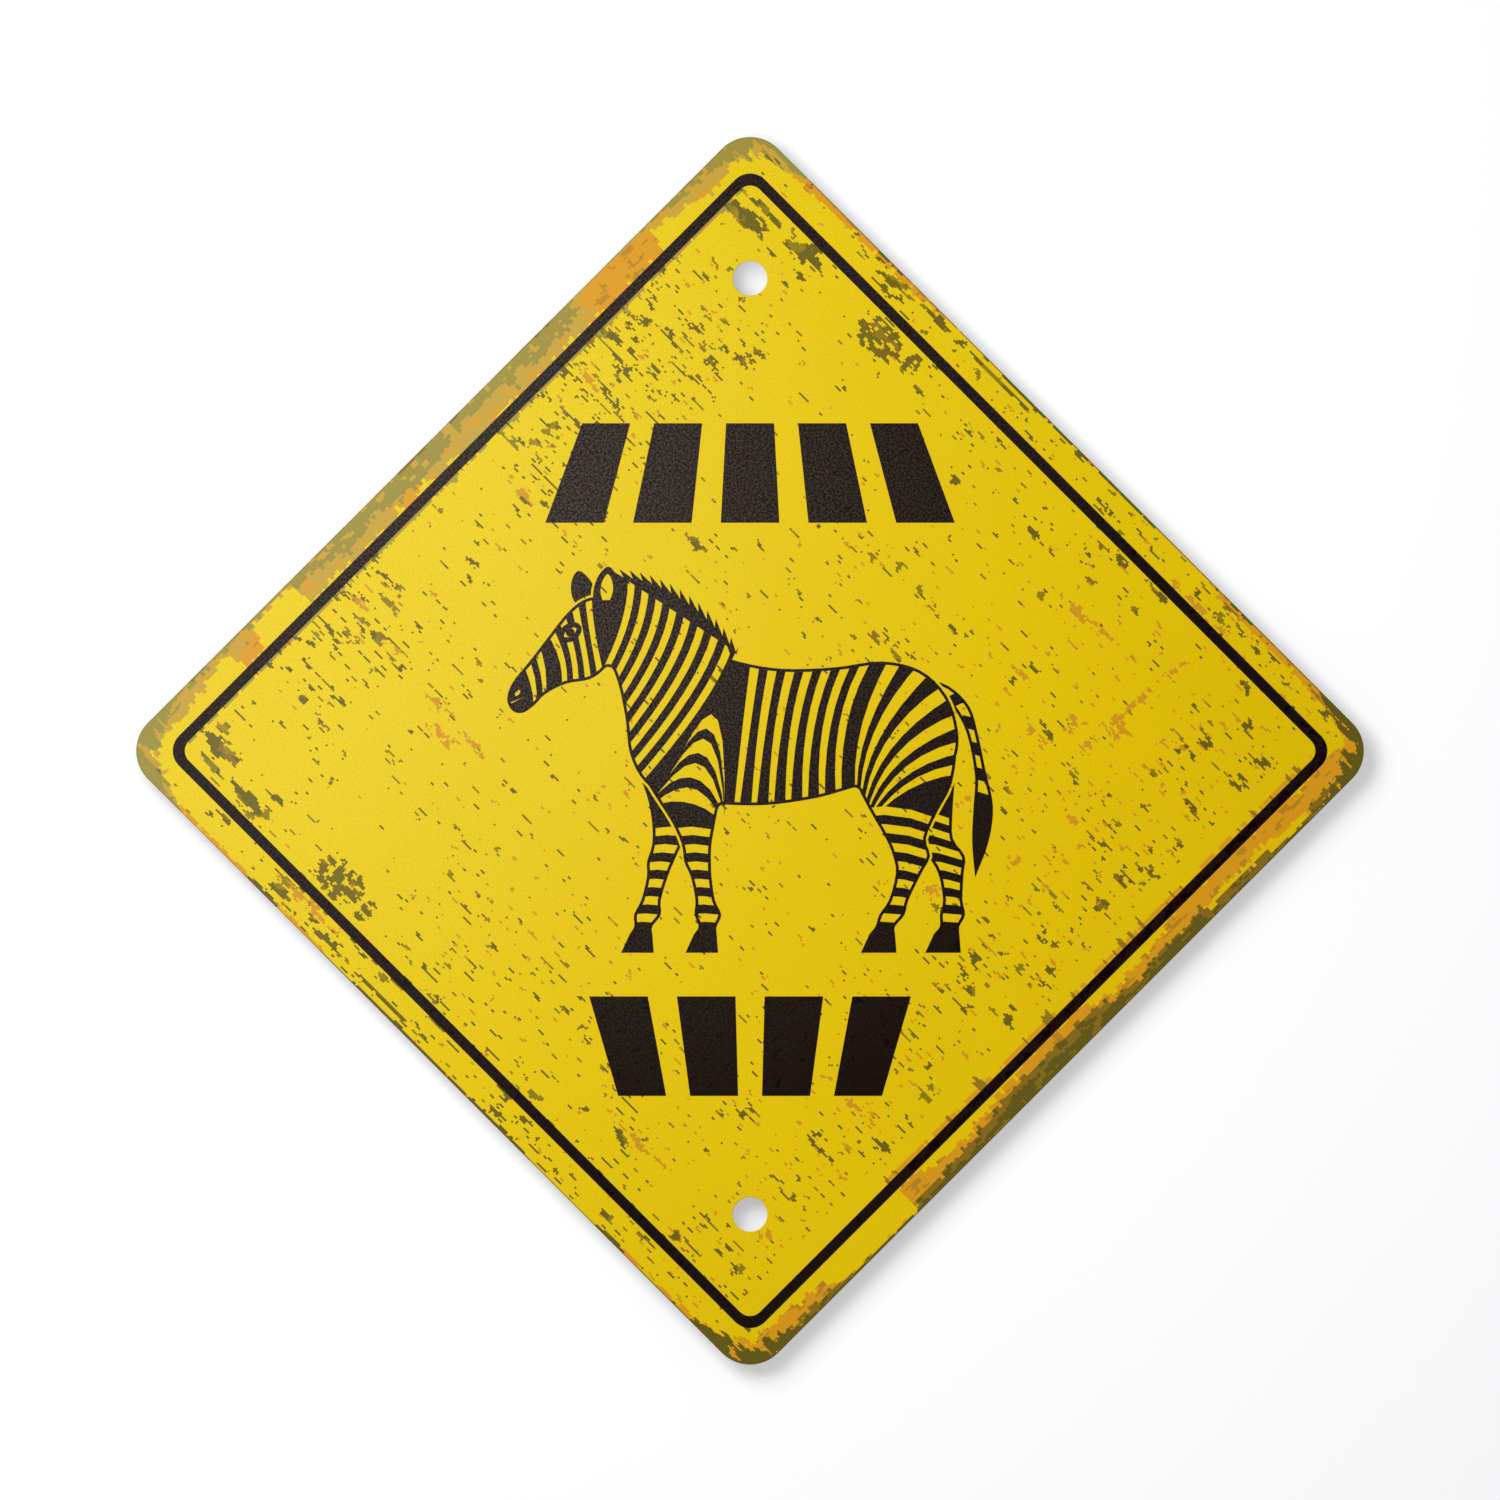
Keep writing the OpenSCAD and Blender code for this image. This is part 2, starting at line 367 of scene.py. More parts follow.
class Tone(Enum):
    """The coat's tones and those of what shows where it has worn, as linear colours. One yellow is
    painted light, and olive also paints the shade on the rim.
    """

    YELLOW = (0.719, 0.489, 0.0007)
    # Painted light: the yellow as it looks when more brightly lit, mixed in towards the upper left
    FADED_YELLOW = (0.767, 0.564, 0.002)
    OLIVE = (0.126, 0.098, 0.009)
    PALE_OLIVE = (0.315, 0.252, 0.040)
    BROWN = (0.235, 0.140, 0.012)
    TAN = (0.520, 0.330, 0.038)
    ORANGE = (0.660, 0.300, 0.010)
    DEEP_ORANGE = (0.470, 0.225, 0.012)
    RUST = (0.590, 0.270, 0.014)


@dataclass(frozen=True)
class Band:
    """Wear that reaches in from a side: its tone, that of its blotches, and its depth.

    The depth is given at places along the side.
    """

    tone: Tone
    blotch: Tone
    depths: tuple[tuple[float, float], ...]


@dataclass(frozen=True)
class SideWear:
    """Bands of wear along one side, from the deepest to the one at the rim.

    The ragged edge of a band follows one noise, and the blotches in it another. The edge sways
    the more, the deeper the band is. Blotches show where their noise is above a bound.
    """

    out: Triple
    along: Triple
    step: Triple
    edge: Grain
    blotch: Grain
    bands: tuple[Band, ...]
    blotch_bound: float = 0.575
    sway_per_depth: float = 2.2
    least_sway: float = 1.2
    most_sway: float = 11.0
    least_depth: float = 0.12
    under_ink: float = 0.4

    def over(self, spot: Spot, colour: Wire) -> Wire:
        """Lays the bands over the coat.

        Args:
            spot: The point of the sheet.
            colour: The coat so far.

        Returns:
            The coat with the bands.
        """
        graph = spot.graph
        block = graph.vector("SNAP", spot.block, self.step)
        inward = SIDE / 2 - graph.vector("DOT_PRODUCT", block, self.out, output="Value")
        along = graph.vector("DOT_PRODUCT", block, self.along, output="Value")
        ragged = self.edge.sway(block)
        blotches = self.blotch.on(block) > self.blotch_bound
        for band in self.bands:
            stops = tuple((0.5 + a / SIDE, d / MARGIN) for a, d in band.depths)
            level = graph.node(
                "ShaderNodeValToRGB", {"stops": stops}, {"Fac": 0.5 + along / SIDE}, "Color"
            )
            depth = level * MARGIN
            sway = (depth * self.sway_per_depth + self.least_sway).least(self.most_sway)
            worn = (inward < depth + ragged * sway) * (depth > self.least_depth)
            worn = worn * (inward < MARGIN + self.under_ink)
            tone = graph.mix(blotches, band.tone.value, band.blotch.value)
            colour = graph.mix(worn, colour, tone)
        return colour


UPPER_LEFT = SideWear(
    (0.0, 0.0, 1.0), (1.0, 0.0, 0.0), (1.3, 1.0, 0.65),
    Grain(4.2, 15.0, 3.0, 3.0, 0.75), Grain(7.0, 2.4, 13.0, 2.0, 0.6), (
    Band(Tone.ORANGE, Tone.DEEP_ORANGE, (
        (-103.5, 0), (-102.5, 11), (-92.5, 11), (-91.5, 0), (-28, 0), (-26, 10.5), (-17, 10.5),
        (-15, 0), (66, 0), (68, 11), (99.5, 11), (101, 0),
    )),
    Band(Tone.TAN, Tone.ORANGE, (
        (-140, 8), (-128, 8), (-118, 5), (-104, 3), (-103, 6), (-92, 5), (-91, 2.6), (-72, 2),
        (-71, 10.5), (-56, 11), (-30, 11), (-26, 5.5), (-16, 6), (-12, 11), (67, 11), (69, 1.6),
        (100, 1.8), (102, 3.5), (118, 6), (129, 9), (137, 6), (142, 4),
    )),
    Band(Tone.PALE_OLIVE, Tone.TAN, (
        (-146, 9), (-139, 5), (-130, 5), (-124, 2.5), (-104, 2), (-92, 2.4), (-72, 1.2), (-71, 5),
        (-62, 4.2), (-56, 6), (-50, 9), (-44, 7), (-36, 4.5), (-28, 6.5), (-12, 9), (0, 6), (10, 4),
        (28, 4.5), (31, 9.5), (34, 4), (41, 8), (52, 8.5), (60, 6.5), (66, 3), (69, 0.3), (97, 0.8),
        (112, 2.6), (135, 3), (140, 5), (147, 9),
    )),
    Band(Tone.BROWN, Tone.PALE_OLIVE, (
        (-121, 0), (-119, 1), (-114, 0.9), (-112, 0), (-20, 0), (-18, 1.4), (-7, 1.2), (-5, 0), (5, 0),
        (6.5, 1.5), (11, 1.2), (13, 0), (37, 0), (40, 0.7), (54, 0.9), (57, 0), (118, 0), (121, 0.9),
        (127, 0),
    )),
))

LOWER_RIGHT = SideWear(
    (0.0, 0.0, -1.0), (1.0, 0.0, 0.0), (1.3, 1.0, 0.65),
    Grain(4.2, 15.0, 33.0, 3.0, 0.75), Grain(7.0, 2.4, 43.0, 2.0, 0.6), (
    Band(Tone.ORANGE, Tone.DEEP_ORANGE, (
        (-149, 9), (-140, 8), (-125, 6.5), (-112, 6), (-109, 2), (-97, 0.8), (-71, 0.8), (-70, 11),
        (-66, 10), (-60, 7.5), (-45, 6), (-35, 7), (-28, 8), (-18, 9.5), (-8, 11), (17, 11), (22, 6.5),
        (30, 6), (45, 6.5), (56, 7.5), (60, 11), (118, 11), (121, 9), (138, 11),
    )),
    Band(Tone.YELLOW, Tone.YELLOW, (
        (70, 0), (72, 5.2), (84, 4.6), (99, 4.8), (102, 5.5), (108, 3), (118, 3.4), (121, 0),
    )),
    Band(Tone.BROWN, Tone.OLIVE, (
        (-140, 3), (-110, 2), (-100, 0.7), (-71, 0.6), (-69, 2.5), (-60, 3), (-45, 4), (-30, 5),
        (-15, 7.5), (0, 6.5), (12, 7), (22, 5), (32, 4), (38, 2), (46, 4), (60, 4.5), (70, 5),
        (72, 2.5), (101, 2.6), (104, 0.9), (119, 1), (122, 3.5), (138, 3),
    )),
    Band(Tone.OLIVE, Tone.BROWN, (
        (-147, 8), (-140, 1), (-125, 0.7), (-70, 0.5), (-68, 1), (-60, 1.5), (-45, 2), (-38, 1),
        (-30, 2.5), (-20, 4.5), (-10, 5), (0, 3.5), (12, 3.5), (30, 2.5), (35, 1), (45, 2), (50, 3),
        (67, 4), (71, 0.3), (100, 0.3), (104, 0.6), (130, 0.8), (139, 1.6), (147, 6),
    )),
))

UPPER_RIGHT = SideWear(
    (1.0, 0.0, 0.0), (0.0, 0.0, 1.0), (0.65, 1.0, 1.3),
    Grain(15.0, 4.2, 53.0, 3.0, 0.75), Grain(2.4, 7.0, 63.0, 2.0, 0.6), (
    Band(Tone.ORANGE, Tone.DEEP_ORANGE, (
        (-147, 0), (-140, 4), (-126, 3.4), (-114, 2.6), (-104, 2.6), (-92, 2.8), (-80, 2.7), (-72, 2.4),
        (-69, 0), (56, 0), (58, 2.1), (78, 2.7), (102, 2.5), (114, 2.9), (126, 3.5), (136, 4), (142, 0),
    )),
    Band(Tone.OLIVE, Tone.OLIVE, (
        (-147, 5), (-136, 2), (-128, 0.5), (-92, 0.4), (-90, 1.3), (-82, 1.2), (-78, 0.3), (-50, 0.5),
        (-40, 1), (-30, 1.5), (-20, 1.2), (-6, 1.1), (8, 1), (16, 1.3), (24, 1.2), (34, 0.8), (48, 0.5),
        (76, 0.4), (78, 1.2), (88, 1.1), (91, 0.5), (125, 0.7), (130, 1.9), (138, 2.4), (146, 3.5),
    )),
))

LOWER_LEFT = SideWear(
    (-1.0, 0.0, 0.0), (0.0, 0.0, 1.0), (0.65, 1.0, 1.3),
    Grain(15.0, 4.2, 73.0, 3.0, 0.75), Grain(2.4, 7.0, 77.0, 2.0, 0.6), (
    Band(Tone.ORANGE, Tone.YELLOW, (
        (-144, 0), (-136, 3), (-126, 1.8), (-114, 1.3), (-91, 1.2), (-90, 0), (53, 0), (55, 1),
        (78, 1.1), (125, 1.1), (127, 0),
    )),
    Band(Tone.OLIVE, Tone.OLIVE, (
        (-147, 4), (-136, 1.5), (-128, 0.2), (-91, 0.1), (-89, 1.1), (-79, 1), (-77, 0), (-48, 0),
        (-36, 0.8), (-24, 0.8), (-18, 0.4), (-6, 0.8), (6, 0.5), (18, 1), (30, 0.5), (42, 0.2), (76, 0),
        (78, 1), (89, 0.9), (91, 0.1), (124, 0.1), (127, 1.6), (138, 1.8), (146, 3.5),
    )),
))

# Scuffs that both halves have, their centres given for |s|, and then those with a lacy cover
TWIN_SCUFFS = tuple(Scuff(*row) for row in (
    (127.5, 128.5, 3.6, 10.5), (134, 126.5, 1.5, 8), (133.3, 107.5, 3.2, 10), (137, 105, 2.4, 3),
    (126.3, 101.5, 1.4, 3), (148, 79, 2.6, 6.5), (143.8, 79.5, 1.5, 3.5), (149, 57, 1.2, 9),
    (149.2, 28, 0.9, 16),
))
LACE_SCUFFS = tuple(Scuff(*row) for row in (
    (131, 67.5, 6.4, 9.8), (132, 54, 4.6, 2.4),
))
# Scuffs on one half only, and then the larger rust marks
SCUFFS = tuple(Scuff(*row) for row in (
    (-108, 100.5, 1.6, 6), (-143.7, 111, 2, 7.5), (-95, 128, 2, 4), (-97.5, 111, 1.6, 5),
    (-51.5, 122.5, 1.8, 6), (-47, 126, 2.4, 2.6), (-62, 117, 2.4, 3.4), (-65, 108, 1.3, 3.6),
    (-22, 113, 1.4, 3.6), (-90, 52, 2, 1.8), (21, 127, 2.4, 5), (46.5, 123, 1.4, 7),
    (50.5, 119, 1.8, 6), (78, 128.5, 2.6, 2.6), (67, 130, 1.5, 4.5), (96, 117, 1.6, 5),
    (64.5, 108.5, 2.3, 2.6), (80, 118, 1.6, 5), (92, 97.5, 1.8, 5), (37, 62, 2.2, 5), (21, 93, 1.8, 4),
    (76.5, 18, 2.2, 4.6), (80, 8, 3.2, 1.9), (128, 48, 1.6, 4), (115, 16, 1.6, 3.6),
    (-148, -27, 1.8, 5.5), (-135.5, -31, 1.8, 7), (-109, -29, 1.7, 5), (-124, -60, 1.4, 6),
    (-148, -78, 1.5, 4.5), (-136, -102, 1.7, 8), (-80, -116, 1.7, 8), (-98, -121, 1.5, 4),
    (-128, -124, 1.3, 5), (-64, -126, 2.2, 5), (-42, -126.5, 2.3, 2.8), (-37.5, -125, 1.6, 5.5),
    (-5, -112, 2, 3.6), (-2, -127.5, 3, 3.4), (58, -8, 3.2, 5.5), (61.5, -17, 1.7, 3.4),
    (78.5, -15, 1.2, 6.5), (121, -18, 1.8, 5), (127.5, -33, 2.2, 4.6), (107.5, -33, 2.6, 1.7),
    (135, -43, 1.9, 5), (126, -60, 2.5, 4.6), (136.3, -61, 1.3, 5.5), (76, -68, 2.4, 4.6),
    (52.5, -72, 2.4, 1.9), (4.5, -105, 1.8, 4.6), (134.5, -104, 1.9, 4.6), (81.5, -108, 1.5, 2.8),
    (71, -108, 1.3, 2.8), (12.5, -124, 1.8, 6.5), (25.5, -117, 2.2, 4), (47.5, -120, 2.2, 5.5),
    (58, -119, 2.1, 5.5), (67, -125.5, 2.3, 5), (92.5, -121, 1.4, 8), (109, -127, 2.7, 5),
    (121, -127, 3, 4.6), (149, -133, 2.2, 6), (-141, -139.5, 1.3, 1.6),
))
RUST_SCUFFS = tuple(Scuff(*row) for row in (
    (-59, 130, 1.8, 3.8), (-71, 78, 2, 7), (-64.5, 85, 1.5, 5.5), (-66, 69, 1.5, 4.6),
    (7, 117, 1.5, 6.5), (-61, 108.5, 1.5, 2.2), (50.5, 129, 1.6, 7), (-122, -68, 1.5, 12),
    (-61, -112, 1.2, 9), (-58.5, -119, 1.6, 2.4), (-113, -121.5, 1.7, 4.4), (112.5, -47, 2, 6.5),
    (113.8, -57.5, 1.2, 6.5), (92.5, -81.5, 6, 2.2), (95, -84, 2.6, 3.2), (106, -82.5, 6, 1.3),
    (81, -80.2, 3, 1.3), (122, -83.5, 4, 1.2), (36, -91.3, 3, 1.4), (61, -94.5, 1.5, 2.6),
    (84, -72, 3.4, 2.4), (10, -78, 3.4, 3.4), (84, -46, 1.3, 4), (73, -65, 1.2, 4.5),
    (-143.8, 72, 1.9, 13), (142.8, -74, 1.5, 11), (100, -81.8, 14, 1),
))

# Where flecks crowd, where they do so along the rims of both halves, and where rust is common
WHOLE = (-200, 200, 8)
CROWDED = (
    Zone((12, 102, 8), (94, 150, 8), 0.72),
    Zone((-98, -44, 8), (102, 150, 8), 0.62),
    Zone((-160, 160, 15), (-140, -99, 5), 0.26),
    Zone((-160, -84, 10), (-72, 36, 10), 0.22),
)
CROWDED_RIMS = Zone((142, 151.8, 0.8), (-112, 88, 8), 0.6)
RUSTY = (
    Zone(WHOLE, (-160, 30, 12), 0.014),
    Zone(WHOLE, (-160, -99, 5), 0.0168),
    Zone((30, 125, 12), (-115, -30, 12), 0.024),
    Zone((56, 110, 8), (98, 140, 8), 0.030),
)


@dataclass(frozen=True)
class PaintedSheen:
    """Painted sheen: fine pale grain laid into the colour where light glints, thickest at the centre of
    a patch.

    The patch is in metres, across and up. The grain thins out to nothing at its rim, the sooner
    the higher the power, starts at one level of its noise and is full from another.
    """

    share: float
    colour: Colour
    patch: Scuff
    power: float
    grain: Grain
    levels: tuple[float, float] = (0.38, 0.66)

    def over(self, spot: Spot, colour: Wire) -> Wire:
        """Lays the painted sheen's grain over a colour.

        Args:
            spot: The point of the sheet.
            colour: The colour underneath.

        Returns:
            The colour with its painted sheen.
        """
        near = nearest(spot.position, (self.patch,)).clamped()
        speckle = self.grain.on(spot.place).between(*self.levels)
        share = spot.graph.math("POWER", near, self.power) * speckle * self.share
        return spot.graph.mix(share, colour, self.colour)


@dataclass(frozen=True)
class Streaks:
    """Streaks that run in from the rounded corners, with a tone below and one above."""

    grain: Grain
    depth: float
    sway: float
    below: Tone
    above: Tone


@dataclass(frozen=True)
class CornerWear:
    """Streaky wear of the rounded corners.

    It starts where |s| + |t| passes one sum and is full from another.
    """

    sums: tuple[float, float] = (272.0, 288.0)
    least: float = 0.1
    layers: tuple[Streaks, ...] = (
        Streaks(Grain(2.2, 9.0, 47.0, 2.0, 0.6), 5.6, 34.0, Tone.ORANGE, Tone.TAN),
        Streaks(Grain(2.6, 15.0, 41.0, 2.0, 0.6), 4.8, 30.0, Tone.OLIVE, Tone.PALE_OLIVE),
    )

    def over(self, spot: Spot, colour: Wire) -> Wire:
        """Lays the streaks over the coat.

        Args:
            spot: The point of the sheet.
            colour: The coat so far.

        Returns:
            The coat with the streaks.
        """
        near = (abs(spot.s) + abs(spot.t)).between(*self.sums)
        for layer in self.layers:
            depth = near * (layer.depth + layer.grain.sway(spot.block) * layer.sway)
            tone = spot.graph.mix(spot.t > 0.0, layer.below.value, layer.above.value)
            worn = (spot.rim < depth) * (near > self.least)
            colour = spot.graph.mix(worn, colour, tone)
        return colour


@dataclass(frozen=True)
class BorderHem:
    """Broken line of wear with teeth, which follows the inside of the border line.

    It runs along the upper left and lower right sides, in stretches. On the lower right it
    starts at one place on s, and its teeth at another.
    """

    teeth: Grain = Grain(3.0, 60.0, 91.0, 2.0, 0.65)
    stretches: Grain = Grain(9.0, 60.0, 95.0, 2.0, 0.6)
    line_bound: float = 0.44
    line_w: float = 1.1
    line_start: float = -72.0
    tooth_bound: float = 0.56
    tooth_length: float = 24.0
    tooth_start: float = -75.0
    gap_bound: float = 0.38
    deep_orange_bound: float = 0.62
    brown_bound: float = 0.58
    under_ink: float = 2.0
    short_of_corner: float = 4.0
    cover: float = 0.9

    def over(self, spot: Spot, colour: Wire) -> Wire:
        """Lays the line over the coat.

        Args:
            spot: The point of the sheet.
            colour: The coat so far.

        Returns:
            The coat with the line.
        """
        mix, s, t = spot.graph.mix, spot.s, spot.t
        inner = SIDE / 2 - MARGIN - BORDER_W
        inward = inner - abs(t)
        teeth = self.teeth.on(spot.block)
        stretches = self.stretches.on(spot.block)
        tooth = (teeth - self.tooth_bound).most(0.0) * self.tooth_length * (s > self.tooth_start)
        reach = (stretches > self.line_bound) * self.line_w + tooth
        line = (inward < reach) * (inward > -self.under_ink)
        line = line * (abs(s) < inner - self.short_of_corner)
        line = line * (s > self.line_start).most(t > 0.0) * (teeth > self.gap_bound)
        deep = stretches > self.deep_orange_bound
        above = mix(deep, Tone.PALE_OLIVE.value, Tone.DEEP_ORANGE.value)
        below = mix(teeth > self.brown_bound, Tone.ORANGE.value, Tone.BROWN.value)
        return mix(line * self.cover, colour, mix(t > 0.0, below, above))


@dataclass(frozen=True)
class Flecks:
    """Scattered flecks, scuffs, lace and rust marks in the coat.

    Each kind shows where its noise is above a bound. A gain lowers a bound or strengthens a
    scuff, and a sway is how far a noise counts.
    """

    clouds: Grain = Grain(20.0, 24.0, 11.0)
    cloud_sway: float = 2.0
    clumps: Grain = Grain(5.0, 10.0, 15.0, 1.0)
    clump_sway: float = 3.4
    thinning: float = 3.0
    thin_below: float = -131.2
    thin_past: float = 140.5

    threads: Grain = Grain(1.3, 5.6, 23.0, 1.0)
    chips: Grain = Grain(4.6, 9.0, 27.0, 3.0, 0.72)
    chip_lag: float = 0.022
    fleck_bound: float = 0.698
    fleck_gain: float = 0.122
    fleck_crowd: float = 1.2

    lumps: Grain = Grain(2.7, 6.0, 31.0, 2.0, 0.6)
    lump_sway: float = 6.0
    twin_gain: float = 2.2
    scuff_bound: float = 0.55

    mesh: Grain = Grain(1.7, 3.2, 35.0, 1.0)
    mesh_sway: float = 4.0
    lace_gain: float = 3.0
    lace_most: float = 0.46
    lace_bound: float = 0.25

    patina: Grain = Grain(5.0, 9.0, 61.0)
    brown_bound: float = 0.6
    faint: Grain = Grain(7.0, 13.0, 71.0, 1.0)
    faint_below: float = 0.46
    cover: float = 0.96
    faint_loss: float = 0.18
    lace_loss: float = 0.03

    rust: Grain = Grain(2.1, 5.6, 83.0, 2.0, 0.6)
    rust_bound: float = 0.684
    rust_gain: float = 0.022
    smears: Grain = Grain(2.0, 3.6, 87.0, 2.0, 0.6)
    smear_sway: float = 6.0
    smear_bound: float = 0.38
    rust_cover: float = 0.94

    def crowding(self, spot: Spot) -> Wire:
        """How crowded the flecks stand.

        Args:
            spot: The point of the sheet.

        Returns:
            0 or less where there are almost none, 1 where they cover a fifth of the coat.
        """
        inside = spot.rim > MARGIN
        crowd = sum(zone.on(spot.block) for zone in CROWDED) * inside
        crowd = crowd + self.clouds.sway(spot.block) * self.cloud_sway
        crowd = crowd + self.clumps.sway(spot.block) * self.clump_sway
        crowd = crowd + CROWDED_RIMS.on(spot.folded)
        thin = ((spot.t < self.thin_below) * inside).most(abs(spot.t) > self.thin_past)
        return crowd - self.thinning * thin

    def wear(self, spot: Spot, colour: Wire, crowd: Wire) -> Wire:
        """Lays flecks, scuffs and lace over the coat.

        Args:
            spot: The point of the sheet.
            colour: The coat so far.
            crowd: How crowded the flecks stand.

        Returns:
            The worn coat.
        """
        block = spot.block
        bound = self.fleck_bound - self.fleck_gain * crowd.least(self.fleck_crowd)
        scattered = self.threads.on(block).most(self.chips.on(block) - self.chip_lag) > bound
        lumps = self.lumps.sway(block) * self.lump_sway
        twins = nearest(spot.folded, TWIN_SCUFFS) * self.twin_gain
        scuffed = nearest(block, SCUFFS).most(twins) + lumps > self.scuff_bound
        lace = (nearest(spot.folded, LACE_SCUFFS) * self.lace_gain).least(self.lace_most)
        laced = self.mesh.sway(block) * self.mesh_sway + lace > self.lace_bound
        brown = self.patina.on(block) > self.brown_bound
        dark = spot.graph.mix(brown, Tone.OLIVE.value, Tone.BROWN.value)
        faint = (self.faint.on(block) < self.faint_below) * (1.0 - laced)
        cover = self.cover - self.faint_loss * faint - self.lace_loss * laced
        return spot.graph.mix(scattered.most(scuffed).most(laced) * cover, colour, dark)

    def over(self, spot: Spot, colour: Wire) -> Wire:
        """Lays all the marks over the coat.

        Args:
            spot: The point of the sheet.
            colour: The coat so far.

        Returns:
            The coat with its marks.
        """
        crowd = self.crowding(spot)
        bound = self.rust_bound - self.rust_gain * crowd.least(1.0)
        bound = bound - sum(zone.on(spot.block) for zone in RUSTY)
        smears = self.smears.sway(spot.block) * self.smear_sway
        smeared = nearest(spot.block, RUST_SCUFFS) + smears > self.smear_bound
        rusty = (self.rust.on(spot.block) > bound).most(smeared)
        worn = self.wear(spot, colour, crowd)
        return spot.graph.mix(rusty * self.rust_cover, worn, Tone.RUST.value)


@dataclass(frozen=True)
class BareMetal:
    """Mill finish of the bare aluminium: fine lines from the rolls, dull smudges, scratches.

    The last three fields say how far a line, a smudge and a scratch count.
    """

    clean: Colour = (0.68, 0.685, 0.69)
    dull: Colour = (0.60, 0.605, 0.61)
    rolled: Grain = Grain(0.9, 170.0, 17.0, 3.0, 0.65)
    smudged: Grain = Grain(30.0, 44.0, 19.0, 3.0, 0.6)
    smudge_levels: tuple[float, float] = (0.42, 0.66)
    scored: Grain = Grain(0.7, 60.0, 21.0, 1.0)
    score_bound: float = 0.7
    gloss: float = 0.34
    in_colour: Triple = (0.30, 0.6, 0.05)
    in_gloss: Triple = (0.30, 0.07, -0.06)
    in_height: Triple = (1.0, 0.0, 0.2)

    def look(self, spot: Spot) -> tuple[Wire, Wire, Wire]:
        """Draws the metal.

        Args:
            spot: The point of the sheet.

        Returns:
            Its colour, its roughness and its height.
        """
        rolled = self.rolled.sway(spot.place)
        smudged = self.smudged.on(spot.place).between(*self.smudge_levels)
        scored = self.scored.on(spot.place) > self.score_bound
        lines, smudges, scratches = self.in_colour
        colour = spot.graph.mix(smudged * smudges, self.clean, self.dull)
        colour = spot.graph.scaled(colour, 1.0 + rolled * lines + scored * scratches)
        lines, smudges, scratches = self.in_gloss
        gloss = self.gloss + rolled * lines + smudged * smudges + scored * scratches
        lines, _, scratches = self.in_height
        return colour, gloss, rolled * lines + scored * scratches


